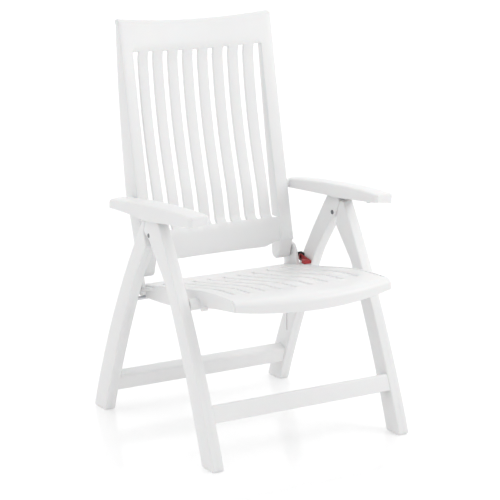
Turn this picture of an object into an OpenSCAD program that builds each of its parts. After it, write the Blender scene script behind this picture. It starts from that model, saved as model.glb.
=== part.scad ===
// Multi-position folding garden armchair with a high slatted back, in millimetres.
// X runs across the chair, the sitter faces -Y, and Z = 0 is the floor.
// The origin is on the floor, under the middle of the overall box.
// Every outline is a list of [y, z] points, seen from the side, and is extruded across the chair.

/* [Overall] */
// Half of the width of the seat and of the backrest
panel_half_w = 237; // [230:1:238]
// Distance from the middle plane to the inner face of a leg
leg_inner_x = 268; // [267:1:270]
// Thickness of a leg across the chair
leg_t = 32; // [31:1:33]

/* [Legs and rails] */
// Gap between the half-lapped leg heads
lap_gap = 0.8; // [0.6:0.1:1.6]
// Radius of the cleared round recess of a half-lapped leg head
lap_r = 76; // [74:1:80]
// Height of a rail, measured along its face
rail_h = 46; // [40:1:50]
// Thickness of a rail
rail_t = 36; // [28:1:38]
// Wall of the hollow rails
rail_wall = 5; // [3:1:8]
// Height of the glide pad that each leg stands on
glide_h = 4; // [3:0.5:6]
// Length of a glide pad, along the sole
glide_len = 44; // [36:1:50]

/* [Seat] */
// Thickness of the seat shell
seat_wall = 5; // [4:0.5:6]
// Thickness of the seat's side flanges and of its front lip
seat_flange = 8; // [6:1:10]
// How far the middle of the front edge bows forward of its corners
seat_bow = 35; // [30:1:35]
// Distance between neighbouring slots, in the seat and in the backrest
slot_pitch = 47; // [44:1:48]
// Number of slots in the backrest and in the seat, an odd number
slot_count = 9; // [7:2:9]
// Width of a seat slot
seat_slot_w = 9; // [6:1:14]

/* [Backrest] */
// Thickness of the slats
slat_t = 9; // [7:1:12]
// Width of a backrest slot
back_slot_w = 16; // [12:1:20]
// Thickness of the backrest's side flanges
back_flange = 7; // [5:1:9]

/* [Armrests] */
// Inner side of an armrest, from the middle plane
arm_inner_x = 250; // [250:1:252]
// Outer side of an armrest, from the middle plane
arm_outer_x = 306; // [305:1:310]
// Wall of the hollow armrest
arm_wall = 3.5; // [3:0.5:4]
// Number of notches in the rack under an armrest
rack_notches = 6; // [4:1:7]

/* [Hinges] */
// Radius of every hinge pin
pin_r = 6; // [5:0.5:7]
// Running clearance round a hinge pin, measured on the radius
pin_gap = 0.05; // [0.02:0.01:0.1]
// Radius of the pin that the back end of the seat rests on
rest_pin_r = 5; // [4:0.5:5.5]

/* [Latch] */
// Width of the latch lever across the chair
latch_w = 4.2; // [3.5:0.1:4.4]
// Radius of the stub that the latch lever turns on
latch_pin_r = 3; // [2.5:0.5:3.5]
// How far the nose of the latch lever reaches over the shelf of the seat
nose_reach = 6; // [4:1:8]

/* [Hidden] */

$fn = 64;
left = -1;
right = 1;
// Overlap of touching pieces that are cut, and the fit of a pin that is pressed in
cut = 1;
press = 0.01;

// Pivots: crossing of the legs, seat on front legs, back on seat, armrest on back, latch lever
apex = [14, 546];
seat_pivot = [-130, 389];
back_pivot = [192, 410];
arm_pivot = [213, 597];
latch_pivot = [164, 392];
// Where the back end of the seat rests on the rear legs
rest_point = [160, 341.2];

// Legs: the two ends of the sole, the two ends of the band's top, and the bulge of its edges
front_sole = [[-318, 2], [-256, 2]];
front_top = [[-37, 585], [8, 580]];
front_bulge = [17, 16];
front_head = [[-64, 535], [-37, 587], [-22, 600], [6, 600], [28, 584], [31, 546], [8, 530], [-30, 492]];
rear_sole = [[282, 2], [348, 2]];
rear_top = [[4, 580], [45, 585]];
rear_bulge = [-17, -24];
rear_head = [[-2, 530], [-20, 584], [-8, 597], [34, 597], [45, 585], [84, 528], [46, 516]];
head_r = 17;
leg_outer_x = leg_inner_x + leg_t;
lap_x = leg_inner_x + leg_t / 2;

// Glides: peg in the leg, and how far the pad stays inside the sole
glide_peg_r = 7;
glide_peg_h = 14;
glide_inset = 5;

// Rails: middle of the section and tilt
front_rail_at = [-246, 129];
front_rail_tilt = -21.5;
rear_rail_at = [275, 86];
rear_rail_tilt = 20;

// Seat: top line from the back to the front, front roll, lower line, notch at the back end
seat_top = [[200, 369], [-218, 433]];
seat_top_sag = -4;
seat_front = [[-275, 435], [-304, 433], [-330, 425], [-344, 408], [-348.5, 392]];
seat_under = [[-313, 406], [-217, 394], [-151, 382], [18, 350], [73, 345], [186, 340]];
seat_notch = [[192, 352], [186, 358], [200, 362]];
seat_hollow_front = [[-275, 430], [-304, 428], [-326, 420], [-338, 405], [-343, 380]];
seat_corner_y = -313;
seat_low = 300;
seat_slot_y = [-230, 150];
seat_ribs = [[-244, 430], [166, 372]];
seat_rib_t = 5;
seat_rib_depth = 20;
boss_r = 18;
stop_knob = [-176, 386];
stop_knob_r = 5;
stop_knob_len = 16;
saddle_gap = 0.6;

// Hinge ears of the seat, and the shelf that the latch holds down
ear_inner_x = panel_half_w + 2.5;
ear_outer_x = 249.3;
ear_r = 22;
ear_foot = [[104, 374], [104, 380], [214, 362], [214, 352], [192, 352]];
ear_upright = [[146, 372], [150, 384], [162, 418], [176, 428], [212, 418], [212, 356]];

// Backrest: front edge upward, rear edge downward, tongues and hubs
back_front = [[158, 448], [285, 1060]];
back_front_sag = -3;
back_crest = [[292, 1073], [301, 1070]];
back_rear = [[306, 1076], [262, 598], [216, 470]];
back_rear_sag = [12, 3];
back_foot = [196, 448];
back_steps = 14;
slot_z = [512, 978];
tongue_outline = [[160, 452], [172, 408], [212, 410], [212, 470], [172, 490]];
tongue_inner_x = 195;
tongue_bore_x = 203;
tongue_r = 20;
hub_r = 16;
hub_depth = 22;
hub_bore_depth = 18;

// Armrests: outline and hollow
arm_front = [[-218, 614], [-217, 632]];
arm_top = [[-130, 637], [150, 618], [214, 606]];
arm_under = [[213, 584], [23, 590], [-107, 598]];
arm_tail_middle = [217, 596];
arm_tail_r = [11, 12];
arm_hollow = [[-210, 560], [-210, 626], [-130, 632], [10, 627], [150, 613], [180, 608], [180, 560]];
arm_boss_r = 11;
arm_boss_gap = 1.5;
arm_bore_depth = 25;

// Notched rack under an armrest
rack_start = -8;
rack_pitch = 22;
rack_end_gap = 12;
rack_top_z = 630;
tooth_h = 6;
tip_z = 606;

// Latch
housing_plate = [[152, 379], [152, 404], [168, 406], [184, 401], [184, 385], [174, 379]];
housing_back = [[177, 383], [177, 403], [184, 401], [184, 385]];
housing_plate_t = 2.5;
lever_outline = [[164, 400], [134, 395], [112, 391], [112, 382], [130, 382], [150, 385], [164, 384]];
nose_outline = [[112, 382], [112, 391], [128, 393.5], [130, 382]];
lever_hub_r = 8;
lever_outer_x = leg_inner_x - housing_plate_t - 0.3;
lever_inner_x = lever_outer_x - latch_w;

function left_normal(v) = [-v[1], v[0]] / norm(v);

// Points of a circular arc from a to b that bulges to the left by s
function arc_between(a, b, s, n = 10) =
    let (
        out = left_normal(b - a) * sign(s),
        along = (b - a) / norm(b - a),
        half_chord = norm(b - a) / 2,
        r = (half_chord * half_chord + s * s) / (2 * abs(s)),
        half_angle = asin(half_chord / r),
        centre = (a + b) / 2 + out * (abs(s) - r)
    )
    [for (i = [0:n]) let (t = half_angle * (2 * i / n - 1)) centre + r * (out * cos(t) + along * sin(t))];

function moved(points, by) = [for (p = points) p + by];

function slot_x(i) = (i - (slot_count - 1) / 2) * slot_pitch;

// An outline, extruded from x0 to x1
module side_plate(points, x0, x1) {
    translate([x0, 0, 0])
        rotate([90, 0, 90])
            linear_extrude(x1 - x0)
                polygon(points);
}

// A round bar across the chair, centred on a [y, z] point
module cross_bar(at, r, x0, x1) {
    translate([x0, at[0], at[1]])
        rotate([0, 90, 0])
            cylinder(h = x1 - x0, r = r);
}

// A right-hand piece, or its mirror image for the left
module on_side(side) {
    mirror([side == left ? 1 : 0, 0, 0])
        children();
}

// A leg's curved band from its sole up, joined to its head
module leg_blank(sole, top, bulge, head) {
    front_edge = arc_between(sole[0], top[0], bulge[0]);
    rear_edge = arc_between(top[1], sole[1], -bulge[1]);
    side_plate(concat(front_edge, rear_edge), leg_inner_x, leg_outer_x);
    side_plate(head, leg_inner_x, leg_outer_x);
    cross_bar(apex, head_r, leg_inner_x, leg_outer_x);
}

// Room in a sole for a glide pad and its peg
module glide_socket(sole) {
    at = (sole[0] + sole[1]) / 2;
    translate([lap_x, at[0], 0])
        cylinder(h = at[1] + glide_peg_h, r = glide_peg_r + press);
    translate([leg_inner_x + glide_inset, at[0] - glide_len / 2, 0])
        cube([leg_t - 2 * glide_inset, glide_len, glide_h]);
}

module front_leg(side) {
    color("white")
    on_side(side)
    difference() {
        leg_blank(front_sole, front_top, front_bulge, front_head);
        cross_bar(apex, lap_r, leg_inner_x - cut, lap_x + lap_gap / 2);
        cross_bar(apex, pin_r + press, leg_inner_x - cut, leg_outer_x + cut);
        cross_bar(seat_pivot, pin_r + press, leg_inner_x - cut, leg_outer_x + cut);
        glide_socket(front_sole);
    }
}

module rear_leg(side) {
    color("white")
    on_side(side)
    difference() {
        leg_blank(rear_sole, rear_top, rear_bulge, rear_head);
        cross_bar(apex, lap_r, lap_x - lap_gap / 2, leg_outer_x + cut);
        cross_bar(apex, pin_r + pin_gap, leg_inner_x - cut, leg_outer_x + cut);
        cross_bar(rest_point, rest_pin_r + press, leg_inner_x - cut, leg_outer_x + cut);
        glide_socket(rear_sole);
    }
}

// A glide pad under a leg, with the peg that holds it
module glide(side, sole) {
    at = (sole[0] + sole[1]) / 2;
    color("gainsboro")
    on_side(side)
    union() {
        translate([leg_inner_x + glide_inset, at[0] - glide_len / 2, 0])
            cube([leg_t - 2 * glide_inset, glide_len, glide_h]);
        translate([lap_x, at[0], glide_h / 2])
            cylinder(h = at[1] + glide_peg_h - glide_h / 2, r = glide_peg_r);
    }
}

// A rail between two legs, open underneath and tilted with them
module rail(at, tilt) {
    translate([-leg_inner_x, at[0], at[1]])
        rotate([tilt, 0, 0])
            difference() {
                translate([0, -rail_t / 2, -rail_h / 2])
                    cube([2 * leg_inner_x, rail_t, rail_h]);
                translate([rail_wall, -rail_t / 2 + rail_wall, -rail_h / 2 - cut])
                    cube([2 * (leg_inner_x - rail_wall), rail_t - 2 * rail_wall, rail_h - rail_wall + cut]);
            }
}

module front_rail() {
    color("white")
        rail(front_rail_at, front_rail_tilt);
}

module rear_rail() {
    color("white")
        rail(rear_rail_at, rear_rail_tilt);
}

// The pin that front and rear leg turn on
module apex_pin(side) {
    color("lightgrey")
    on_side(side)
        cross_bar(apex, pin_r, leg_inner_x - cut, leg_outer_x - cut);
}

// The pin that the seat turns on, in a front leg
module seat_pin(side) {
    color("lightgrey")
    on_side(side)
        cross_bar(seat_pivot, pin_r, panel_half_w - seat_flange - 6, leg_outer_x - cut);
}

// The pin on a rear leg that the back end of the seat's side flange rests on
module rest_pin(side) {
    color("lightgrey")
    on_side(side)
        cross_bar(rest_point, rest_pin_r, panel_half_w - seat_flange - 3, leg_outer_x - cut);
}

// Plan outline of the seat with its bowed front edge, made smaller by inset
module seat_plan(inset) {
    half_w = panel_half_w - inset;
    corner_y = seat_corner_y + inset;
    front = arc_between([half_w, corner_y], [-half_w, corner_y], seat_bow, 16);
    translate([0, 0, seat_low])
        linear_extrude(200)
            polygon(concat(front, [[-half_w, 240], [half_w, 240]]));
}

module seat_shell() {
    top_line = arc_between(seat_top[0], seat_top[1], seat_top_sag);
    difference() {
        intersection() {
            side_plate(concat(top_line, seat_front, seat_under, seat_notch), -panel_half_w, panel_half_w);
            seat_plan(0);
        }
        intersection() {
            side_plate(concat(moved(top_line, [0, -seat_wall]), seat_hollow_front,
                [[-343, seat_low], [240, seat_low], [240, 357]]), -panel_half_w, panel_half_w);
            seat_plan(seat_flange);
        }
        for (i = [0:slot_count - 1])
            translate([slot_x(i) - seat_slot_w / 2, seat_slot_y[0], seat_low])
                cube([seat_slot_w, seat_slot_y[1] - seat_slot_y[0], 200]);
    }
}

// Stiffening ribs across the underside, just past the ends of the slots
module seat_rib(at) {
    translate([-panel_half_w + 2, at[0], at[1] - seat_rib_depth])
        cube([2 * panel_half_w - 4, seat_rib_t, seat_rib_depth]);
}

// One side's hinge ear, latch shelf, pivot boss and stop knob
module seat_bracket() {
    cross_bar(seat_pivot, boss_r, panel_half_w - seat_flange + cut, leg_inner_x - 2);
    cross_bar(stop_knob, stop_knob_r, panel_half_w - cut, panel_half_w + stop_knob_len);
    side_plate(ear_foot, panel_half_w - cut, ear_outer_x);
    side_plate(ear_upright, ear_inner_x, ear_outer_x);
    cross_bar(back_pivot, ear_r, ear_inner_x, ear_outer_x);
}

module seat() {
    color("white")
    difference() {
        union() {
            seat_shell();
            for (at = seat_ribs) seat_rib(at);
            for (side = [left, right]) on_side(side) seat_bracket();
        }
        for (side = [left, right])
            on_side(side) {
                cross_bar(seat_pivot, pin_r + pin_gap, panel_half_w - seat_flange - cut, leg_inner_x);
                cross_bar(back_pivot, pin_r + press, ear_inner_x - cut, ear_outer_x + cut);
                cross_bar(rest_point, rest_pin_r + saddle_gap, panel_half_w - seat_flange - cut, ear_outer_x + cut);
            }
    }
}

// The pin that the backrest turns on, held in an ear of the seat
module back_pin(side) {
    color("lightgrey")
    on_side(side)
        cross_bar(back_pivot, pin_r, tongue_bore_x, ear_outer_x);
}

// The slatted panel of the backrest, before its slots are cut
module back_panel(front_edge) {
    rear_face = [for (i = [back_steps:-1:0]) front_edge[i] + [slat_t, 0]];
    side_plate(concat(front_edge, back_crest, rear_face), -panel_half_w, panel_half_w);
}

// One side's deep flange, hinge tongue and armrest hub
module back_side(front_edge) {
    rear_edge = concat(arc_between(back_rear[0], back_rear[1], back_rear_sag[0]),
        arc_between(back_rear[1], back_rear[2], back_rear_sag[1], 4));
    side_plate(concat(front_edge, [back_crest[0]], rear_edge, [back_foot]), panel_half_w - back_flange, panel_half_w);
    side_plate(tongue_outline, tongue_inner_x, panel_half_w);
    cross_bar(back_pivot, tongue_r, tongue_inner_x, panel_half_w);
    cross_bar(arm_pivot, hub_r, panel_half_w - hub_depth, panel_half_w);
}

module backrest() {
    front_edge = arc_between(back_front[0], back_front[1], back_front_sag, back_steps);
    color("white")
    difference() {
        union() {
            back_panel(front_edge);
            for (side = [left, right]) on_side(side) back_side(front_edge);
        }
        for (i = [0:slot_count - 1])
            translate([slot_x(i) - back_slot_w / 2, 100, slot_z[0]])
                cube([back_slot_w, 300, slot_z[1] - slot_z[0]]);
        for (side = [left, right])
            on_side(side) {
                cross_bar(back_pivot, pin_r + pin_gap, tongue_bore_x, panel_half_w + cut);
                cross_bar(arm_pivot, pin_r + press, panel_half_w - hub_bore_depth, panel_half_w + cut);
            }
    }
}

// The pin that an armrest turns on, held in the side of the backrest
module arm_pin(side) {
    color("lightgrey")
    on_side(side)
        cross_bar(arm_pivot, pin_r, panel_half_w - hub_bore_depth, arm_inner_x + arm_bore_depth - cut);
}

module armrest(side) {
    tail = [for (a = [70:-20:-70]) arm_tail_middle + [arm_tail_r[0] * cos(a), arm_tail_r[1] * sin(a)]];
    top_line = concat(arc_between(arm_front[1], arm_top[0], 3, 4), arc_between(arm_top[0], arm_top[1], 6, 8));
    color("white")
    on_side(side)
    difference() {
        union() {
            side_plate(concat([arm_front[0]], top_line, [arm_top[2]], tail, arm_under), arm_inner_x, arm_outer_x);
            cross_bar(arm_pivot, arm_boss_r, panel_half_w + arm_boss_gap, arm_inner_x + cut);
        }
        side_plate(arm_hollow, arm_inner_x + arm_wall, arm_outer_x - arm_wall);
        cross_bar(arm_pivot, pin_r + pin_gap, panel_half_w, arm_inner_x + arm_bore_depth);
    }
}

// The notched rack inside an armrest, over the head of the front leg
module arm_rack(side) {
    rack_end = rack_start - rack_notches * rack_pitch;
    notches = [for (i = [0:rack_notches - 1]) each moved(
        [[4, tip_z], [-2, tip_z + tooth_h], [-12, tip_z]], [rack_start - i * rack_pitch, 0])];
    color("white")
    on_side(side)
    intersection() {
        side_plate(concat([[rack_start + rack_end_gap, rack_top_z], [rack_start + rack_end_gap, tip_z]], notches,
            [[rack_end, tip_z], [rack_end, rack_top_z]]), lap_x + cut, arm_outer_x - arm_wall);
        side_plate(arm_hollow, lap_x + cut, arm_outer_x - arm_wall);
    }
}

// The black housing of the latch, on the inner face of the right rear leg
module latch_housing() {
    color("dimgray")
    union() {
        side_plate(housing_plate, leg_inner_x - housing_plate_t, leg_inner_x);
        side_plate(housing_back, lever_inner_x, leg_inner_x);
        cross_bar(latch_pivot, latch_pin_r, lever_inner_x, leg_inner_x);
    }
}

// The red lever of the latch, whose nose reaches over the shelf of the seat
module latch_lever() {
    color("firebrick")
    difference() {
        union() {
            side_plate(lever_outline, lever_inner_x, lever_outer_x);
            side_plate(nose_outline, ear_outer_x - nose_reach, lever_outer_x);
            cross_bar(latch_pivot, lever_hub_r, lever_inner_x, lever_outer_x);
        }
        cross_bar(latch_pivot, latch_pin_r + pin_gap, lever_inner_x - cut, leg_inner_x);
    }
}

front_leg(left);  // front_leg_left
front_leg(right);  // front_leg_right
front_rail();
rear_leg(left);  // rear_leg_left
rear_leg(right);  // rear_leg_right
rear_rail();
glide(left, front_sole);  // front_glide_left
glide(right, front_sole);  // front_glide_right
glide(left, rear_sole);  // rear_glide_left
glide(right, rear_sole);  // rear_glide_right
apex_pin(left);  // apex_pin_left
apex_pin(right);  // apex_pin_right
seat_pin(left);  // seat_pin_left
seat_pin(right);  // seat_pin_right
rest_pin(left);  // rest_pin_left
rest_pin(right);  // rest_pin_right
seat();
back_pin(left);  // back_pin_left
back_pin(right);  // back_pin_right
backrest();
arm_pin(left);  // arm_pin_left
arm_pin(right);  // arm_pin_right
armrest(left);  // armrest_left
armrest(right);  // armrest_right
arm_rack(left);  // arm_rack_left
arm_rack(right);  // arm_rack_right
latch_housing();
latch_lever();
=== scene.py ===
import math

import bmesh
import bpy
import numpy as np
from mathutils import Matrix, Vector


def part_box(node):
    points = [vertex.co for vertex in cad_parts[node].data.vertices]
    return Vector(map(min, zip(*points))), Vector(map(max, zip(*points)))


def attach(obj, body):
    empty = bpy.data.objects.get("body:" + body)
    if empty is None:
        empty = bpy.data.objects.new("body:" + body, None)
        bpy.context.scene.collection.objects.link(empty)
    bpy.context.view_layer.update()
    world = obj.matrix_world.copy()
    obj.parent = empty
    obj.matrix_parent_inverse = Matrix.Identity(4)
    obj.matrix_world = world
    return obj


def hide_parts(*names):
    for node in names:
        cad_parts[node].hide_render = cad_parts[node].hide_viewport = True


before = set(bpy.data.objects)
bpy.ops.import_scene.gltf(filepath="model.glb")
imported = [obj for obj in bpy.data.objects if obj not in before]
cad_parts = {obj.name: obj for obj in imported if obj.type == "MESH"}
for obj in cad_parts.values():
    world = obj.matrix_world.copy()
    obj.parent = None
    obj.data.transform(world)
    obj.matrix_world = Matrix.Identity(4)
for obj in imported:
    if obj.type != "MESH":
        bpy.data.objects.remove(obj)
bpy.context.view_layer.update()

# Shapes are in millimetres, in the frame of the CAD part, and their meshes are made in metres.
# The materials, the floor, the lights and the camera are in metres.
MM = 0.001
SIDES = (("left", -1), ("right", 1))

# How far each arm pin reaches past the inner edge of its armrest
ARM_PIN_REACH = 24

# Where things are across the chair, from the CAD nodes
LEG_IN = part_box("front_leg_right")[0].x / MM
LEG_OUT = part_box("front_leg_right")[1].x / MM
LAP = (LEG_IN + LEG_OUT) / 2
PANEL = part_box("backrest")[1].x / MM
ARM_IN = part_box("arm_pin_right")[1].x / MM - ARM_PIN_REACH
ARM_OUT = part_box("armrest_right")[1].x / MM

# Pivots and outlines are [y, z], seen from the side
APEX = (14, 546)
SEAT_PIVOT = (-130, 389)
BACK_PIVOT = (192, 410)
ARM_PIVOT = (213, 597)
LATCH_PIVOT = (164, 392)

SLOT_PITCH = 47
SLOT_XS = [SLOT_PITCH * i for i in range(-4, 5)]


# ---------------------------------------------------------------- outlines

def arc(a, b, bulge, n=14):
    """Points of an arc from a to b that bulges to the left by bulge."""
    a, b = np.array(a, float), np.array(b, float)
    if abs(bulge) < 1e-6:
        return [tuple(a + (b - a) * i / n) for i in range(n + 1)]
    chord = np.linalg.norm(b - a)
    along = (b - a) / chord
    out = np.array([-along[1], along[0]]) * np.sign(bulge)
    radius = (chord ** 2 / 4 + bulge ** 2) / (2 * abs(bulge))
    half = math.asin(chord / 2 / radius)
    centre = (a + b) / 2 + out * (abs(bulge) - radius)
    turns = [half * (2 * i / n - 1) for i in range(n + 1)]
    return [tuple(centre + radius * (out * math.cos(t) + along * math.sin(t))) for t in turns]


def filleted(points, radii, n=5):
    """The polygon with its corners rounded; radii is one number, or one for each point."""
    pts = [np.array(p, float) for p in points]
    if not hasattr(radii, "__len__"):
        radii = [radii] * len(pts)
    out = []
    for i, p in enumerate(pts):
        a, b = pts[i - 1] - p, pts[(i + 1) % len(pts)] - p
        la, lb = np.linalg.norm(a), np.linalg.norm(b)
        a, b = a / la, b / lb
        angle = math.acos(max(-1.0, min(1.0, float(a @ b))))
        reach = radii[i] / math.tan(angle / 2) if radii[i] > 0 and angle > 1e-3 else 0
        reach = min(reach, 0.48 * la, 0.48 * lb)
        if reach < 0.05 or angle > math.pi - 0.02:
            out.append(tuple(p))
            continue
        start, end = p + a * reach, p + b * reach
        for k in range(n + 1):
            t = k / n
            out.append(tuple((1 - t) ** 2 * start + 2 * t * (1 - t) * p + t ** 2 * end))
    return out


def circle(centre, radius, n=40):
    turns = [2 * math.pi * i / n for i in range(n)]
    return [(centre[0] + radius * math.cos(t), centre[1] + radius * math.sin(t)) for t in turns]


def inset(points, amount):
    """The outline moved inwards by amount, along its mitred normals."""
    p = np.array(points, float)
    area = np.sum(p[:, 0] * np.roll(p[:, 1], -1) - np.roll(p[:, 0], -1) * p[:, 1])
    before = p - np.roll(p, 1, 0)
    after = np.roll(p, -1, 0) - p
    normals = []
    for e in (before, after):
        e = e / np.maximum(np.linalg.norm(e, axis=1), 1e-9)[:, None]
        normals.append(np.stack([-e[:, 1], e[:, 0]], 1) * np.sign(area))
    mean = normals[0] + normals[1]
    mean /= np.maximum(np.linalg.norm(mean, axis=1), 1e-9)[:, None]
    spread = np.maximum(np.sum(mean * normals[0], axis=1), 0.6)
    return p + mean * (amount / spread)[:, None]


# ---------------------------------------------------------------- meshes

class Piece:
    """Closed shells, in millimetres, that become one mesh object."""

    def __init__(self):
        self.verts = []
        self.faces = []

    def add(self, verts, faces):
        base = len(self.verts)
        self.verts += [tuple(v) for v in verts]
        self.faces += [[base + i for i in f] for f in faces]

    def plate(self, outline, x0, x1, r0=0.0, r1=0.0, steps=4):
        """An outline extruded from x0 to x1, with its edges rounded by r0 and r1."""
        rings = []
        for r, x, way in ((r0, x0, 1), (r1, x1, -1)):
            turns = [math.pi / 2 * k / steps for k in range(steps + 1)] if r > 0 else [math.pi / 2]
            part = [(r * (1 - math.sin(t)), x + way * r * (1 - math.cos(t))) for t in turns]
            rings += part if way > 0 else part[::-1]
        n = len(outline)
        verts, faces = [], []
        for amount, x in rings:
            ring = inset(outline, amount) if amount > 1e-6 else np.array(outline, float)
            verts += [(x, y, z) for y, z in ring]
        for k in range(len(rings) - 1):
            for i in range(n):
                j = (i + 1) % n
                faces.append([k * n + i, k * n + j, (k + 1) * n + j, (k + 1) * n + i])
        faces.append(list(range(n))[::-1])
        faces.append([(len(rings) - 1) * n + i for i in range(n)])
        self.add(verts, faces)

    def bar(self, centre, radius, x0, x1, edge=0.6, n=40):
        self.plate(circle(centre, radius, n), x0, x1, edge, edge, 3)

    def shell(self, outer, inner, present):
        """A closed shell between two grids of points; present says which cells are there."""
        nu, nv = outer.shape[:2]
        used = np.zeros((nu, nv), bool)
        for di in (0, 1):
            for dj in (0, 1):
                used[di:nu - 1 + di, dj:nv - 1 + dj] |= present
        index = np.full((nu, nv), -1)
        index[used] = np.arange(used.sum())
        count = int(used.sum())
        verts = list(outer[used]) + list(inner[used])
        faces = []

        def there(i, j):
            return 0 <= i < nu - 1 and 0 <= j < nv - 1 and present[i, j]

        for i in range(nu - 1):
            for j in range(nv - 1):
                if not present[i, j]:
                    continue
                a, b, c, d = index[i, j], index[i + 1, j], index[i + 1, j + 1], index[i, j + 1]
                faces.append([a, b, c, d])
                faces.append([d + count, c + count, b + count, a + count])
                for there_is, p, q in ((there(i, j - 1), a, b), (there(i + 1, j), b, c),
                                       (there(i, j + 1), c, d), (there(i - 1, j), d, a)):
                    if not there_is:
                        faces.append([q, p, p + count, q + count])
        self.add(verts, faces)

    def bare_object(self, name):
        mesh = bpy.data.meshes.new(name)
        mesh.from_pydata([Vector(v) * MM for v in self.verts], [], self.faces)
        bm = bmesh.new()
        bm.from_mesh(mesh)
        bmesh.ops.recalc_face_normals(bm, faces=bm.faces)
        bm.to_mesh(mesh)
        bm.free()
        obj = bpy.data.objects.new(name, mesh)
        bpy.context.scene.collection.objects.link(obj)
        return obj

    def minus(self, *cutters):
        """The one shell of this piece with each cutter's one shell taken out of it."""
        obj = self.bare_object("carved")
        for cutter in cutters:
            tool = cutter.bare_object("cutter")
            modifier = obj.modifiers.new("cut", "BOOLEAN")
            modifier.operation = "DIFFERENCE"
            modifier.solver = "EXACT"
            modifier.object = tool
            graph = bpy.context.evaluated_depsgraph_get()
            result = bpy.data.meshes.new_from_object(obj.evaluated_get(graph))
            obj.modifiers.remove(modifier)
            obj.data = result
            bpy.data.objects.remove(tool)
        carved = Piece()
        verts = [tuple(v.co / MM) for v in obj.data.vertices]
        faces = [list(f.vertices) for f in obj.data.polygons]
        carved.add(verts, faces)
        bpy.data.objects.remove(obj)
        return carved

    def mirrored(self):
        """The same shells for the other side of the chair."""
        other = Piece()
        other.verts = [(-x, y, z) for x, y, z in self.verts]
        other.faces = [f[::-1] for f in self.faces]
        return other

    def on(self, sign):
        return self if sign > 0 else self.mirrored()

    def make(self, name, body, material, slot, replaces=(), smooth=32):
        mesh = bpy.data.meshes.new(name)
        mesh.from_pydata([Vector(v) * MM for v in self.verts], [], self.faces)
        bm = bmesh.new()
        bm.from_mesh(mesh)
        bmesh.ops.remove_doubles(bm, verts=bm.verts, dist=1e-6)
        bmesh.ops.recalc_face_normals(bm, faces=bm.faces)
        bm.to_mesh(mesh)
        bm.free()
        obj = bpy.data.objects.new(name, mesh)
        bpy.context.scene.collection.objects.link(obj)
        mesh.materials.append(material)
        mesh.shade_smooth()
        mesh.set_sharp_from_angle(angle=math.radians(smooth))
        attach(obj, body)
        if replaces:
            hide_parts(*replaces)
        return obj


def edge_drop(distance, radius):
    """How far a rounded edge falls away at a distance from it."""
    share = np.clip(1 - distance / radius, 0, 1)
    return radius * (1 - np.sqrt(1 - share ** 2))


def lines_near(edge, radius, way):
    """Grid lines that a rounded edge needs, from the edge inwards."""
    return [edge + way * radius * k for k in (0, 0.05, 0.2, 0.5, 1)]


def smoothstep(x):
    x = np.clip(x, 0, 1)
    return x * x * (3 - 2 * x)


def profile_normals(y, z):
    """Unit normals, in the y-z plane, of the profiles that run along the second index."""
    dy, dz = np.gradient(y, axis=1), np.gradient(z, axis=1)
    length = np.maximum(np.hypot(dy, dz), 1e-9)
    return -dz / length, dy / length


# ---------------------------------------------------------------- materials

def base_material(name, colour, roughness, **inputs):
    """A principled material with its constants set, and an object-space texture coordinate."""
    mat = bpy.data.materials.new(name)
    mat.use_nodes = True
    nodes, links = mat.node_tree.nodes, mat.node_tree.links
    shader = nodes["Principled BSDF"]
    shader.inputs["Base Color"].default_value = (*colour, 1)
    shader.inputs["Roughness"].default_value = roughness
    for key, value in inputs.items():
        shader.inputs[key.replace("_", " ")].default_value = value
    coord = nodes.new("ShaderNodeTexCoord")
    return mat, nodes, links, shader, coord.outputs["Object"]


def noise(nodes, links, coord, scale, detail=3.0, stretch=(1, 1, 1)):
    mapping = nodes.new("ShaderNodeMapping")
    mapping.inputs["Scale"].default_value = stretch
    texture = nodes.new("ShaderNodeTexNoise")
    texture.inputs["Scale"].default_value = scale
    texture.inputs["Detail"].default_value = detail
    links.new(coord, mapping.inputs["Vector"])
    links.new(mapping.outputs["Vector"], texture.inputs["Vector"])
    return texture.outputs["Fac"]


def spread(nodes, links, value, low, high):
    """Maps a noise value to low..high."""
    ramp = nodes.new("ShaderNodeMapRange")
    ramp.inputs["From Min"].default_value = 0.3
    ramp.inputs["From Max"].default_value = 0.7
    ramp.inputs["To Min"].default_value = low
    ramp.inputs["To Max"].default_value = high
    links.new(value, ramp.inputs["Value"])
    return ramp.outputs["Result"]


def vary_colour(nodes, links, shader, value, dark, light):
    mix = nodes.new("ShaderNodeMix")
    mix.data_type = "RGBA"
    mix.inputs["A"].default_value = (*dark, 1)
    mix.inputs["B"].default_value = (*light, 1)
    links.new(value, mix.inputs["Factor"])
    links.new(mix.outputs["Result"], shader.inputs["Base Color"])


def bumped(nodes, links, shader, layers):
    """Stacks bump layers of (height, strength, distance in metres)."""
    normal = None
    for height, strength, distance in layers:
        bump = nodes.new("ShaderNodeBump")
        bump.inputs["Strength"].default_value = strength
        bump.inputs["Distance"].default_value = distance
        links.new(height, bump.inputs["Height"])
        if normal is not None:
            links.new(normal, bump.inputs["Normal"])
        normal = bump.outputs["Normal"]
    links.new(normal, shader.inputs["Normal"])


def moulded_plastic(name, dark, light, rough, grain=0.35, **inputs):
    """Injection-moulded plastic: fine eroded grain, faint flow marks, uneven gloss and tint."""
    mat, nodes, links, shader, coord = base_material(name, light, sum(rough) / 2, **inputs)
    tint = spread(nodes, links, noise(nodes, links, coord, 3.2, 4.0), 0.0, 1.0)
    vary_colour(nodes, links, shader, tint, dark, light)
    gloss = noise(nodes, links, coord, 14.0, 5.0, (1, 1, 0.5))
    links.new(spread(nodes, links, gloss, *rough), shader.inputs["Roughness"])
    fine = noise(nodes, links, coord, 1500.0, 2.0)
    flow = noise(nodes, links, coord, 26.0, 2.0, (1, 1, 0.35))
    bumped(nodes, links, shader, [(flow, 0.12, 0.0006), (fine, grain, 0.00009)])
    return mat


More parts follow.
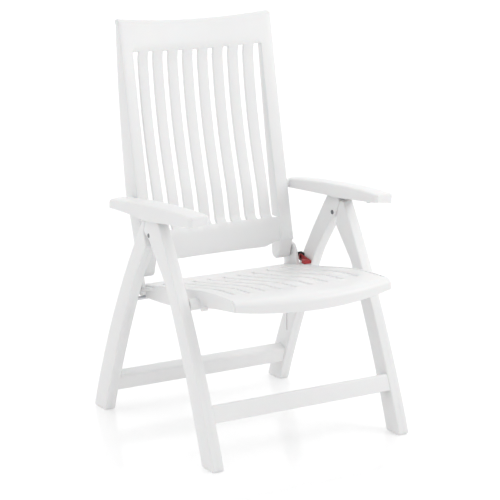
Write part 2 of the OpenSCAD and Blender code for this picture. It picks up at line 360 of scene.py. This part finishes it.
def satin_metal(name, colour):
    """Drawn bar: fine lines round the bar, with slightly uneven gloss."""
    mat, nodes, links, shader, coord = base_material(name, colour, 0.35, Metallic=1.0)
    tint = spread(nodes, links, noise(nodes, links, coord, 60.0), 0.0, 1.0)
    vary_colour(nodes, links, shader, tint, [c * 0.8 for c in colour], colour)
    drawn = noise(nodes, links, coord, 500.0, 2.0, (6, 1, 1))
    links.new(spread(nodes, links, drawn, 0.28, 0.45), shader.inputs["Roughness"])
    bumped(nodes, links, shader, [(drawn, 0.3, 0.00005)])
    return mat


def grip_rubber(name, dark, light):
    """Soft foot pad: matt, with a coarser grain and scuffed patches."""
    mat, nodes, links, shader, coord = base_material(name, light, 0.8)
    scuffs = spread(nodes, links, noise(nodes, links, coord, 45.0, 6.0), 0.0, 1.0)
    vary_colour(nodes, links, shader, scuffs, dark, light)
    grain = noise(nodes, links, coord, 700.0, 3.0)
    links.new(spread(nodes, links, grain, 0.7, 0.9), shader.inputs["Roughness"])
    bumped(nodes, links, shader, [(grain, 0.5, 0.0002)])
    return mat


WHITE = moulded_plastic("white_plastic", (0.805, 0.805, 0.805), (0.83, 0.83, 0.83), (0.30, 0.42),
                        Subsurface_Weight=0.06, Subsurface_Scale=0.004)
BLACK = moulded_plastic("latch_black", (0.012, 0.012, 0.013), (0.03, 0.03, 0.032), (0.38, 0.55), 0.5)
RED = moulded_plastic("latch_red", (0.30, 0.008, 0.012), (0.44, 0.016, 0.02), (0.22, 0.35), 0.25)
PAD = grip_rubber("glide_pad", (0.66, 0.66, 0.655), (0.76, 0.76, 0.755))
PIN = satin_metal("pin_metal", (0.74, 0.75, 0.77))
# The apex pin is darkened: painted shade for the shadowed gap where the legs cross, not the pin's own
# metal colour.
SHADED_APEX_PIN = satin_metal("dark_pin_metal", (0.24, 0.25, 0.27))


# ---------------------------------------------------------------- legs, rails and feet

FRONT_EDGE = arc((-318, 0.6), (-37, 585), 17, 20)
FRONT_BACK_EDGE = arc((8, 580), (-256, 0.6), -16, 20)
REAR_FRONT_EDGE = arc((282, 0.6), (4, 580), -17, 20)
REAR_EDGE = arc((45, 585), (348, 0.6), 24, 20)
# The heads of the legs are half-lapped: each head's far edge is where the other leg's half ends
CROTCH = (14, 534)
CROTCH_Z = 430
FRONT_HEAD = [(-22, 600), (6, 600), (30, 586), (43, 551)]
REAR_HEAD = [(-6, 552), (-20, 583), (-8, 597), (34, 597)]
BESIDE_FRONT_HEAD = [(31, 512), (44, 549), (31.5, 585)]
BESIDE_REAR_HEAD = [(-21.5, 585), (-7.5, 552), (-3, 512)]
SOLE_RADIUS = 7
HEAD_RADIUS = 13
HALF_RADIUS = 6
CROTCH_RADIUS = 3
LEG_ROUND = 4
HALF_GAP = 0.4
# How far the two halves of one leg run into each other
HALF_OVERLAP = 0.5
APEX_HOLE = 6.3
# How far a cutter stands clear of the face it cuts
CUT = 2
GROOVE = {"y": 242, "low": 161, "high": 228, "radius": 4.2, "depth": 2.4}
RAIL = {"thick": 36, "high": 46, "wall": 5, "into_leg": 0.5}
RAIL_RIB = {"last": 225, "pitch": 75, "half": 1.5}
FRONT_RAIL = {"centre": (-246, 129), "tilt": -21.5}
REAR_RAIL = {"centre": (275, 86), "tilt": 20}
PAD_HIGH = 5
PAD_RIB = {"pitch": 13, "half": 4.5, "proud": 0.8}


def with_radii(parts):
    """Rounds the corners of an outline given as (points, radius) runs."""
    points = [p for run, _ in parts for p in run]
    radii = [r for run, r in parts for _ in run]
    return filleted(points, radii)


def below(line, z):
    """The part of a line that lies below z, cut off exactly there."""
    out = []
    for k, (y1, z1) in enumerate(line):
        if k and (line[k - 1][1] - z) * (z1 - z) < 0:
            y0, z0 = line[k - 1]
            out.append((y0 + (y1 - y0) * (z - z0) / (z1 - z0), z))
        if z1 <= z:
            out.append((y1, z1))
    return out


def front_leg_shapes():
    """A front leg's outer half, with its head, and its inner half, which stops beside the other head."""
    sole = ([FRONT_EDGE[0]], SOLE_RADIUS)
    heel = ([FRONT_BACK_EDGE[-1]], SOLE_RADIUS)
    low = (below(FRONT_BACK_EDGE, CROTCH_Z)[:-1], 0)
    rise = (FRONT_EDGE[1:-1], 0)
    head = [([FRONT_EDGE[-1]], HEAD_RADIUS), (FRONT_HEAD, HEAD_RADIUS), ([CROTCH], CROTCH_RADIUS)]
    whole = with_radii([sole, rise, *head, low, heel])
    half = with_radii([sole, rise, ([FRONT_EDGE[-1]], HALF_RADIUS), (BESIDE_REAR_HEAD, 0), low, heel])
    return whole, half


def rear_leg_shapes():
    """A rear leg's inner half, with its head, and its outer half, which stops beside the other head."""
    sole = ([REAR_FRONT_EDGE[0]], SOLE_RADIUS)
    heel = ([REAR_EDGE[-1]], SOLE_RADIUS)
    rise = (below(REAR_FRONT_EDGE, CROTCH_Z)[1:], 0)
    fall = (REAR_EDGE[1:-1], 0)
    head = [([CROTCH], CROTCH_RADIUS), (REAR_HEAD, HEAD_RADIUS), ([REAR_EDGE[0]], HEAD_RADIUS)]
    whole = with_radii([sole, rise, *head, fall, heel])
    half = with_radii([sole, rise, (BESIDE_FRONT_HEAD, 0), ([REAR_EDGE[0]], HALF_RADIUS), fall, heel])
    return whole, half


def stadium(y, low, high, radius, n=10):
    turns = [math.pi * k / n for k in range(n + 1)]
    bottom = [(y - radius * math.cos(t), low - radius * math.sin(t)) for t in turns]
    top = [(y + radius * math.cos(t), high + radius * math.sin(t)) for t in turns]
    return bottom + top


def build_legs():
    bore = Piece()
    bore.bar(APEX, APEX_HOLE, LEG_IN - CUT, LEG_OUT + CUT, 0)
    groove = Piece()
    groove.plate(stadium(GROOVE["y"], GROOVE["low"], GROOVE["high"], GROOVE["radius"]),
                 LEG_IN - CUT, LEG_IN + GROOVE["depth"])
    for side, sign in SIDES:
        whole, band = front_leg_shapes()
        outer, inner = Piece(), Piece()
        outer.plate(whole, LAP + HALF_GAP, LEG_OUT, 0, LEG_ROUND)
        inner.plate(band, LEG_IN, LAP + HALF_GAP + HALF_OVERLAP, LEG_ROUND, 0)
        leg = outer.minus(bore)
        leg.add(inner.verts, inner.faces)
        leg.on(sign).make(f"front_leg_shape_{side}", "front_frame", WHITE, "white_plastic",
                          [f"front_leg_{side}"])
        whole, band = rear_leg_shapes()
        outer, inner = Piece(), Piece()
        inner.plate(whole, LEG_IN, LAP - HALF_GAP, LEG_ROUND, 0)
        outer.plate(band, LAP - HALF_GAP - HALF_OVERLAP, LEG_OUT, 0, LEG_ROUND)
        leg = inner.minus(bore, groove)
        leg.add(outer.verts, outer.faces)
        leg.on(sign).make(f"rear_leg_shape_{side}", "rear_frame", WHITE, "white_plastic",
                          [f"rear_leg_{side}"])


def build_rail(name, node, body, centre, tilt):
    """A rail is a channel, open underneath, with a rounded back, and ribs across its inside."""
    t, h, w = RAIL["thick"] / 2, RAIL["high"] / 2, RAIL["wall"]
    outside = [(-t, -h), (-t, h), (t, h), (t, -h)]
    inside = [(t - w, -h), (t - w, h - w), (w - t, h - w), (w - t, -h)]
    section = filleted(outside + inside, [1.6, 8, 8, 1.6, 1.6, 4, 4, 1.6])
    c, s = math.cos(math.radians(tilt)), math.sin(math.radians(tilt))

    def placed(points):
        return [(centre[0] + y * c - z * s, centre[1] + y * s + z * c) for y, z in points]

    rail = Piece()
    end = LEG_IN + RAIL["into_leg"]
    rail.plate(placed(section), -end, end)
    rib = filleted([(2 - t, -h + 6), (2 - t, h - 2), (t - 2, h - 2), (t - 2, -h + 6)], 1)
    for x in range(-RAIL_RIB["last"], RAIL_RIB["last"] + 1, RAIL_RIB["pitch"]):
        rail.plate(placed(rib), x - RAIL_RIB["half"], x + RAIL_RIB["half"])
    rail.make(name, body, WHITE, "white_plastic", [node])


def build_feet():
    for end, body in (("front", "front_frame"), ("rear", "rear_frame")):
        for side, sign in SIDES:
            low, high = (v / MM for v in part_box(f"{end}_glide_{side}"))
            x0, x1 = sorted((abs(low.x), abs(high.x)))
            pad = Piece()
            block = [(low.y, 0), (high.y, 0), (high.y, PAD_HIGH), (low.y, PAD_HIGH)]
            pad.plate(filleted(block, 1.2), x0, x1, 1.5, 1.5)
            for k in (-1, 0, 1):
                middle = (low.y + high.y) / 2 + k * PAD_RIB["pitch"]
                start, stop = middle - PAD_RIB["half"], middle + PAD_RIB["half"]
                rib = filleted([(start, 0.1), (stop, 0.1), (stop, 3), (start, 3)], 0.6)
                pad.plate(rib, x0 - PAD_RIB["proud"], x1 + PAD_RIB["proud"], 0.5, 0.5)
            pad.on(sign).make(f"{end}_foot_pad_{side}", body, PAD, "glide_plastic",
                              [f"{end}_glide_{side}"])


# ---------------------------------------------------------------- seat

SEAT_TOP = [(200, 369), (120, 382), (24, 398), (-77, 415.5), (-151, 427), (-224, 432.5),
            (-275, 434.5), (-348, 435)]
SEAT_UNDER = [(-217, 394), (-151, 382), (18, 350), (73, 345), (150, 341.5)]
SADDLE = [(154.2, 341.4), (155.8, 345.2), (160, 347), (164.2, 345.2), (165.8, 341)]
SEAT_HOOK = [(186, 340), (192, 352), (186, 358), (200, 362)]
SEAT_SLOT = {"width": 9, "rear": 150, "front": -230, "round": 2}
SEAT_CORNER = [(-289, 434), (-301, 430.5), (-309.5, 423), (-313, 412), (-313, 406)]
SEAT_FOOT = [(104, 374), (104, 380), (214, 362), (214, 352), (192, 352), (176, 356), (168, 350),
             (152, 350), (146, 362)]
SEAT_EAR = [(146, 368), (150, 386), (158, 414), (170, 431), (192, 435), (211, 426), (216, 404), (214, 356)]
SEAT_EAR_RADII = [2, 20, 20, 12, 12, 12, 14, 3]
EAR_OUT = 249.3
SEAT_BOSS = 15
STOP_KNOB = {"at": (-176, 386), "radius": 5, "out": 16}
SEAT_RIBS = ((-244, 402, 424), (-80, 386, 404), (60, 362, 382), (166, 350, 366))
# Each pair is the value at the middle of the seat and how much it grows towards the sides
LIP = {"front": (-348, 35), "reach": (33, -15), "fall": (20, -6), "bottom": (392, 14)}
SEAT_EDGE = 234
SEAT_DISH = 8
RIM_STEP = 1.6


def curve_through(points, n=12):
    """A Catmull-Rom curve through the points."""
    p = [np.array(q, float) for q in points]
    p = [2 * p[0] - p[1]] + p + [2 * p[-1] - p[-2]]
    out = []
    for a, b, c, d in zip(p, p[1:], p[2:], p[3:]):
        for k in range(n):
            t = k / n
            out.append(0.5 * (2 * b + (c - a) * t + (2 * a - 5 * b + 4 * c - d) * t ** 2
                              + (3 * b - a - 3 * c + d) * t ** 3))
    out.append(p[-2])
    return np.array(out)


def seat_shell():
    """The dished top with its slots, which rolls over into the bowed front lip."""
    r = SEAT_SLOT["round"]
    half = SEAT_SLOT["width"] / 2
    xs = []
    for x in SLOT_XS:
        xs += lines_near(x - half, r, -1) + lines_near(x + half, r, 1) + [x]
    xs += [(a + b) / 2 for a, b in zip(SLOT_XS, SLOT_XS[1:])]
    xs += [-SEAT_EDGE, -226, -215, 215, 226, SEAT_EDGE]
    xs = np.array(sorted(set(np.round(xs, 4))))
    flat = [200, 197, 190, 175] + lines_near(SEAT_SLOT["rear"], r, 1)[::-1]
    flat += list(np.linspace(SEAT_SLOT["rear"], SEAT_SLOT["front"], 22)[1:-1])
    flat += lines_near(SEAT_SLOT["front"], r, -1)
    run_out = np.linspace(0, 1, 6)[1:]
    roll = [math.pi / 2 * k / 10 for k in range(1, 11)]
    drop = np.linspace(0, 1, 5)[1:]

    line = curve_through(SEAT_TOP)[::-1]
    x = xs[:, None]
    t = np.minimum(np.abs(x) / PANEL, 1)

    def bowed(key):
        middle, growth = LIP[key]
        return middle + growth * t ** 2

    front_y = bowed("front")
    reach = bowed("reach")
    start_y = front_y + reach

    def top(yy):
        dish = SEAT_DISH * np.clip(1 - (x / 222) ** 2, 0, 1)
        dish = dish * smoothstep((yy + 305) / 100) * smoothstep((198 - yy) / 70)
        return np.interp(yy, line[:, 0], line[:, 1]) - RIM_STEP - dish

    y = np.concatenate([np.broadcast_to(np.array(flat, float), (len(xs), len(flat))),
                        flat[-1] + (start_y - flat[-1]) * run_out[None, :]], 1)
    z = top(y)
    start_z, bottom_z = z[:, -1:], bowed("bottom")
    fall = np.minimum(bowed("fall"), start_z - bottom_z - 8)
    y = np.concatenate([y, start_y - reach * np.sin(roll)[None, :],
                        np.repeat(front_y, len(drop), 1)], 1)
    z = np.concatenate([z, start_z - fall * (1 - np.cos(roll))[None, :],
                        start_z - fall + (bottom_z - start_z + fall) * drop[None, :]], 1)
    ny, nz = profile_normals(y, z)
    thick = np.where(y > -295, 5.0, 7.0)
    off = np.zeros_like(y)
    for sx in SLOT_XS:
        dx = np.maximum(np.abs(x - sx) - half, 0)
        dy = np.maximum(np.maximum(y - SEAT_SLOT["rear"], SEAT_SLOT["front"] - y), 0)
        off = np.maximum(off, edge_drop(np.hypot(dx, dy), r))
    grid_x = np.broadcast_to(x, y.shape)
    outer = np.stack([grid_x, y + ny * off, z + nz * off], 2)
    inner = np.stack([grid_x, y + ny * (thick - off * 0.5), z + nz * (thick - off * 0.5)], 2)
    mid_x = (xs[:-1] + xs[1:]) / 2
    mid_y = (y[0, :-1] + y[0, 1:]) / 2
    in_slot_x = np.any([np.abs(mid_x - sx) < half for sx in SLOT_XS], axis=0)
    in_slot_y = (mid_y < SEAT_SLOT["rear"]) & (mid_y > SEAT_SLOT["front"])
    return outer, inner, ~(in_slot_x[:, None] & in_slot_y[None, :])


def build_seat():
    seat = Piece()
    seat.shell(*seat_shell())
    line = [tuple(p) for p in curve_through(SEAT_TOP[:-1], 6)]
    flange = line + SEAT_CORNER + SEAT_UNDER + SADDLE + SEAT_HOOK
    bracket = Piece()
    bracket.plate(flange, PANEL - 8, PANEL, 1, 3)
    bracket.bar(SEAT_PIVOT, SEAT_BOSS, PANEL - 7, LEG_IN - 2, 1.6, 48)
    bracket.bar(STOP_KNOB["at"], STOP_KNOB["radius"], PANEL - 2, PANEL + STOP_KNOB["out"], 1.2)
    bracket.plate(filleted(SEAT_FOOT, 1.5), PANEL - 1, EAR_OUT, 0, 1.5)
    bracket.plate(filleted(SEAT_EAR, SEAT_EAR_RADII), PANEL + 2.5, EAR_OUT, 1.2, 2)
    for piece in (bracket, bracket.mirrored()):
        seat.add(piece.verts, piece.faces)
    for y, low, high in SEAT_RIBS:
        seat.plate([(y, low), (y, high), (y + 4, high), (y + 4, low)], 3 - PANEL, PANEL - 3)
    seat.make("seat_shape", "seat", WHITE, "white_plastic", ["seat"])


# ---------------------------------------------------------------- backrest

BACK_EDGE = arc((158, 448), (285, 1060), -3, 30)
BACK_REAR = [(306, 1068), (300.7, 941), (286, 786), (273, 690), (260, 605), (237, 545), (216, 478),
             (211, 452)]
BACK_SLOT = {"width": 16.0, "low": 512, "high": 979, "rise": 9, "round": 2.6}
BACK_HOLLOW = 17
# The slats lie behind the stiles: this far along their whole length, and further towards the middle
BACK_RECESS = 8
BACK_LEAN = 11
LEAN_START = 600
LEAN_LENGTH = 390
RECESS_TOP = 998
STILE_X = 200
# The stiles' inner walls start this far behind the stiles' front edges, and are deeper lower down
STILE_WALL = {"start": 7, "low": 500, "high": 1000, "deep": 17, "widen": 0.045, "widen_below": 960}
BACK_BOSS = 16
KNUCKLE = 20
CREST = {"start": 1046, "rise": 14, "high": 14, "deep": 17}
TONGUE_X = 195


def back_shell():
    """The slatted panel: hollow across and along, with raised stiles and a crest that rolls back."""
    r = BACK_SLOT["round"]
    half = BACK_SLOT["width"] / 2
    gaps = [(x - half, x + half) for x in SLOT_XS]
    gaps[0] = (-STILE_X, gaps[0][1])
    gaps[-1] = (gaps[-1][0], STILE_X)
    xs = [0.0]
    for a, b in gaps:
        xs += lines_near(a, r, -1) + lines_near(b, r, 1)
    xs += [(a + b) / 2 for a, b in zip(SLOT_XS, SLOT_XS[1:])]
    for way in (-1, 1):
        xs += [way * (STILE_X - k) for k in (2.5, 5, 7.5)] + [way * 220]
        xs += [way * e for e in lines_near(PANEL, 5, -1)]
    xs = np.array(sorted(set(np.round(xs, 4))))
    x = xs[:, None]
    t = np.minimum(np.abs(x) / PANEL, 1)
    low = 447 - 14 * smoothstep((TONGUE_X - 2 - np.abs(x)) / 50)
    slot_top = BACK_SLOT["high"] + BACK_SLOT["rise"] * t ** 2
    roll_z = CREST["start"] + CREST["rise"] * t ** 2

    def rows(a, b, shares):
        return a + (b - a) * np.array(shares, float)[None, :]

    end = BACK_SLOT["low"]
    foot = rows(low, end - r, [0, 0.02, 0.06, 0.2, 0.45, 0.75, 1])
    near_low = np.repeat(np.array([lines_near(end, r, -1)[::-1][1:]]), len(xs), 0)
    blend = np.repeat(np.array([[end + 3, end + 8, end + 16]]), len(xs), 0)
    body = rows(end + 16, slot_top, np.linspace(0, 1, 22)[1:])
    near_top = slot_top + np.array(lines_near(0, r, 1)[1:])[None, :]
    crown = rows(slot_top + r, roll_z, np.linspace(0, 1, 7)[1:])
    z = np.concatenate([foot, near_low, blend, body, near_top, crown], 1)

    edge = np.array(BACK_EDGE)
    y = np.interp(z, edge[:, 1], edge[:, 0]) + BACK_HOLLOW * (1 - t ** 2)
    y = y - np.clip(448 - z, 0, 20) * 0.2
    lean = np.sin(math.pi * np.clip((z - LEAN_START) / LEAN_LENGTH, 0, 1))
    deep = BACK_RECESS * smoothstep((RECESS_TOP - z) / 40) + BACK_LEAN * lean
    deep = deep * smoothstep((z - end + 3) / 12)
    y = y + deep * smoothstep((STILE_X - np.abs(x)) / 7.5)

    turns = np.array([math.pi / 2 * k / 8 for k in range(1, 9)])[None, :]
    roll_y = y[:, -1:] + CREST["deep"] * (1 - np.cos(turns))
    roll_up = roll_z + CREST["high"] * np.sin(turns)
    over = np.array([[3, 5.5, 7, 7.2, 7.2]])
    down = np.array([[0.3, 1.5, 4, 8, 14]])
    y = np.concatenate([y, roll_y, roll_y[:, -1:] + over], 1)
    z = np.concatenate([z, roll_up, roll_up[:, -1:] - down], 1)
    ny, nz = profile_normals(y, z)
    ny, nz = -ny, -nz

    off = edge_drop(np.maximum(PANEL - np.abs(x), 0), 5) * np.ones_like(y)
    for a, b in gaps:
        dx = np.maximum(np.maximum(x - b, a - x), 0)
        dz = np.maximum(np.maximum(z - slot_top, end - z), 0)
        off = np.maximum(off, edge_drop(np.hypot(dx, dz), r))
    off = np.maximum(off, edge_drop(np.maximum(z - low, 0), 4))
    grid_x = np.broadcast_to(x, y.shape)
    columns = np.arange(y.shape[1])[None, :]
    first_roll = y.shape[1] - len(over[0]) - turns.shape[1]
    thick = np.where(columns < first_roll, 8.5, 5.0) * np.ones_like(y)
    outer = np.stack([grid_x, y + ny * off, z + nz * off], 2)
    inner = np.stack([grid_x, y + ny * (thick - off * 0.4), z + nz * (thick - off * 0.4)], 2)
    mid_x = (xs[:-1] + xs[1:]) / 2
    first = foot.shape[1] + near_low.shape[1] - 1
    last = first + blend.shape[1] + body.shape[1]
    in_slot_x = np.any([(mid_x > a) & (mid_x < b) for a, b in gaps], axis=0)
    cell = np.arange(y.shape[1] - 1)
    in_slot_z = (cell >= first) & (cell < last)
    return outer, inner, ~(in_slot_x[:, None] & in_slot_z[None, :])


def build_back():
    back = Piece()
    back.shell(*back_shell())
    front = [(y + 5, z) for y, z in BACK_EDGE]
    side = Piece()
    rear = [tuple(p) for p in curve_through(BACK_REAR, 5)]
    side.plate([(193, 448)] + front + [(296, 1071), (303, 1073)] + rear, PANEL - 7, PANEL, 1, 3)
    wall = STILE_WALL
    wall_front = [(y + wall["start"], z) for y, z in BACK_EDGE if wall["low"] < z < wall["high"]]
    wall_rear = [(y + wall["deep"] + wall["widen"] * (wall["widen_below"] - z), z)
                 for y, z in wall_front[::-1]]
    side.plate(wall_front + wall_rear, STILE_X - 0.2, STILE_X + 3, 0.4, 0.4)
    knuckle = [(BACK_PIVOT[0] + KNUCKLE * math.cos(t), BACK_PIVOT[1] + KNUCKLE * math.sin(t))
               for t in [math.pi + math.pi * k / 16 for k in range(17)]]
    side.plate([(172, 492), (161, 462), (162, 446)] + knuckle + [(213, 472)], TONGUE_X, PANEL, 5, 6)
    side.bar(ARM_PIVOT, BACK_BOSS, PANEL - 22, PANEL - 0.5, 1.2, 48)
    for piece in (side, side.mirrored()):
        back.add(piece.verts, piece.faces)
    back.make("backrest_shape", "backrest", WHITE, "white_plastic", ["backrest"])


# ---------------------------------------------------------------- armrests

ARM_TOP = [(-218, 635), (-144, 635.5), (-50, 632), (48, 625.5), (149, 615.5), (202, 609), (229, 605)]
ARM_UNDER_IN = [(-218, 614), (-36, 597), (23, 595), (196, 585), (229, 583)]
ARM_UNDER_OUT = [(-218, 609), (-107, 598), (-48, 591), (31, 584), (103, 586), (196, 584), (229, 582)]
ARM_END = {"front": -218, "rear": 228, "tail": 217, "middle_z": 596}
ARM_WALL = 3.6
ARM_ROUND = 5.5
ARM_CROWN = 3.4
ARM_HUB = 11
ARM_RIBS = (-175, 40, 95)


def arm_shell():
    """The hollow armrest: a crowned top with rounded edges, and a skirt that is open below."""
    front, rear, tail = ARM_END["front"], ARM_END["rear"], ARM_END["tail"]
    ys = lines_near(front, ARM_ROUND, 1) + [front + 9, front + 13]
    ys += list(np.linspace(front + 24, tail, 22))
    ys += [tail + (rear - tail) * math.sin(math.pi / 2 * k / 8) for k in range(1, 9)]
    ys = np.array(sorted(set(np.round(ys, 4))))[None, :]
    width = ARM_OUT - ARM_IN
    shares = lines_near(0, ARM_ROUND, 1) + [3.5, 3.7, 16, 28, 40] + [width - 3.7, width - 3.5]
    shares += lines_near(width, ARM_ROUND, -1)
    us = np.array(sorted(set(np.round(shares, 4))))[:, None] / width
    past = np.clip((ys - tail) / (rear - tail), 0, 1)
    taper = np.sqrt(np.maximum(1 - past ** 2, 0.0))
    nose = 7 * np.clip(1 - (ys - front) / 9, 0, 1) ** 1.5
    x_in = ARM_IN + nose + (1 - taper) * 5
    x_out = ARM_OUT - nose - (1 - taper) * 5
    x = x_in + (x_out - x_in) * us
    y = np.broadcast_to(ys, x.shape)

    def along(points):
        line = curve_through(points)
        return np.interp(ys, line[:, 0], line[:, 1])

    top = along(ARM_TOP) - us + ARM_CROWN * (1 - (2 * us - 1) ** 2)
    under = along(ARM_UNDER_IN) * (1 - us) + along(ARM_UNDER_OUT) * us
    middle = ARM_END["middle_z"]
    top = middle + (top - middle) * (0.45 + 0.55 * taper)
    under = middle + (under - middle) * (0.45 + 0.55 * taper)
    border = np.minimum(x - x_in, x_out - x)
    fall = edge_drop(np.minimum(border, np.maximum(ys - front, 0)), ARM_ROUND)
    surface = top - fall * np.minimum(1, (top - under) / 30)
    solid = (np.minimum(border, ys - front) < 3.6) | (ys > 182)
    floor = np.where(solid, under, top - ARM_WALL)
    outer = np.stack([x, y, surface], 2)
    inner = np.stack([x, y, np.minimum(floor, surface - 0.5)], 2)
    return outer, inner, np.ones((x.shape[0] - 1, x.shape[1] - 1), bool)


def build_arms():
    for side, sign in SIDES:
        arm = Piece()
        arm.shell(*arm_shell())
        arm.bar(ARM_PIVOT, ARM_HUB, PANEL + 1.5, ARM_IN + 2, 1)
        for y in ARM_RIBS:
            arm.plate([(y, 606), (y, 618), (y + 3, 618), (y + 3, 606)], ARM_IN + 2, ARM_IN + 14)
        arm.on(sign).make(f"armrest_shape_{side}", f"armrest_{side}", WHITE, "white_plastic",
                          [f"armrest_{side}"])


# ---------------------------------------------------------------- latch

HOUSING = [(152, 379), (152, 404), (168, 406), (184, 401), (184, 385), (174, 379)]
HOUSING_STOP = [(177, 383), (177, 403), (184, 401), (184, 385)]
LEVER = [(164, 400), (134, 395), (112, 391), (112, 382), (130, 382), (150, 385), (164, 384)]
LEVER_NOSE = [(112, 382), (112, 391), (128, 393.5), (130, 382)]
LEVER_THICK = 4.2


def build_latch():
    inner, outer = (v.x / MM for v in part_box("latch_lever"))
    housing = Piece()
    housing.plate(filleted(HOUSING, 3.5), LEG_IN - 2.5, LEG_IN, 0.8, 0)
    housing.plate(filleted(HOUSING_STOP, 1.2), outer - LEVER_THICK, LEG_IN - 1, 0.6, 0)
    housing.bar(LATCH_PIVOT, 3, outer - LEVER_THICK, LEG_IN - 1, 0.5, 24)
    housing.make("latch_body", "rear_frame", BLACK, "latch_black", ["latch_housing"])
    lever = Piece()
    lever.plate(filleted(LEVER, [1, 6, 3, 2, 4, 6, 1]), outer - LEVER_THICK, outer, 0.9, 0.9)
    lever.plate(filleted(LEVER_NOSE, 1.5), inner, outer - 1, 0.9, 0)
    lever.plate(circle(LATCH_PIVOT, 8), outer - LEVER_THICK, outer, 0.8, 0.8)
    for k in range(4):
        lever.bar((116 + 4 * k, 391.2 + 0.55 * k), 0.9, inner + 0.6, outer - 0.6, 0.3, 10)
    lever.make("latch_handle", "latch", RED, "latch_red", ["latch_lever"])


# ---------------------------------------------------------------- what the CAD nodes keep

def dress_cad_nodes():
    for name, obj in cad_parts.items():
        # The apex pin takes the darkened metal, which is painted shade for the shadowed gap at the crotch
        # of the legs.
        if "apex_pin" in name:
            material = SHADED_APEX_PIN
        elif "pin" in name:
            material = PIN
        elif "rack" in name:
            material = WHITE
        else:
            continue
        if not obj.data.materials:
            obj.data.materials.append(material)
        for slot in obj.material_slots:
            slot.material = material


# ---------------------------------------------------------------- floor, light and camera

FLOOR = {"albedo": 0.82, "glow": 0.2, "specular": 0.6, "size": 80}


def studio_floor():
    albedo = (FLOOR["albedo"],) * 3
    mat, nodes, links, shader, coord = base_material("studio_floor", albedo, 0.12)
    shader.inputs["Specular IOR Level"].default_value = FLOOR["specular"]
    shader.inputs["Emission Color"].default_value = (1, 1, 1, 1)
    shader.inputs["Emission Strength"].default_value = FLOOR["glow"]
    sweep = noise(nodes, links, coord, 1.5, 2.0)
    links.new(spread(nodes, links, sweep, 0.10, 0.14), shader.inputs["Roughness"])
    bpy.ops.mesh.primitive_plane_add(size=FLOOR["size"], location=(0, 0, 0))
    floor = bpy.context.object
    floor.name = "studio_floor"
    floor.data.materials.append(mat)


# The sky is a soft gradient, brighter above and behind the chair than in front of it.
SKY_SLOPE = (0.0, 0.55, 0.835)
SKY_DIM = 0.72
SKY_BRIGHT = 1.12
CAMERA = {"sensor": 36, "lens": 134.67, "at": (-2.507, -4.145, 1.604), "tilt": 76.88, "turn": -31.14}


def softbox(name, location, target, size, power):
    light = bpy.data.lights.new(name, "AREA")
    light.shape = "RECTANGLE"
    light.size, light.size_y = size
    light.energy = power
    obj = bpy.data.objects.new(name, light)
    obj.location = location
    obj.rotation_euler = (Vector(target) - Vector(location)).to_track_quat("-Z", "Y").to_euler()
    bpy.context.scene.collection.objects.link(obj)


def studio_light():
    world = bpy.data.worlds.new("studio")
    world.use_nodes = True
    nodes, links = world.node_tree.nodes, world.node_tree.links
    coord = nodes.new("ShaderNodeTexCoord")
    slope = nodes.new("ShaderNodeVectorMath")
    slope.operation = "DOT_PRODUCT"
    slope.inputs[1].default_value = SKY_SLOPE
    links.new(coord.outputs["Generated"], slope.inputs[0])
    ramp = nodes.new("ShaderNodeMapRange")
    ramp.inputs["From Min"].default_value = -1.0
    ramp.inputs["From Max"].default_value = 1.0
    ramp.inputs["To Min"].default_value = SKY_DIM
    ramp.inputs["To Max"].default_value = SKY_BRIGHT
    links.new(slope.outputs["Value"], ramp.inputs["Value"])
    nodes["Background"].inputs["Color"].default_value = (1, 1, 1, 1)
    links.new(ramp.outputs["Result"], nodes["Background"].inputs["Strength"])
    bpy.context.scene.world = world
    bpy.context.scene.view_settings.view_transform = "Standard"
    softbox("front_right", (1.2, -1.0, 1.5), (0.1, 0.15, 0.75), (0.8, 0.8), 5.5)


def studio_camera():
    data = bpy.data.cameras.new("camera")
    data.sensor_width = CAMERA["sensor"]
    data.lens = CAMERA["lens"]
    data.dof.use_dof = False
    obj = bpy.data.objects.new("camera", data)
    obj.location = CAMERA["at"]
    obj.rotation_euler = (math.radians(CAMERA["tilt"]), 0, math.radians(CAMERA["turn"]))
    bpy.context.scene.collection.objects.link(obj)
    bpy.context.scene.camera = obj


build_legs()
build_rail("front_rail_shape", "front_rail", "front_frame", **FRONT_RAIL)
build_rail("rear_rail_shape", "rear_rail", "rear_frame", **REAR_RAIL)
build_feet()
build_seat()
build_back()
build_arms()
build_latch()
dress_cad_nodes()
studio_floor()
studio_light()
studio_camera()
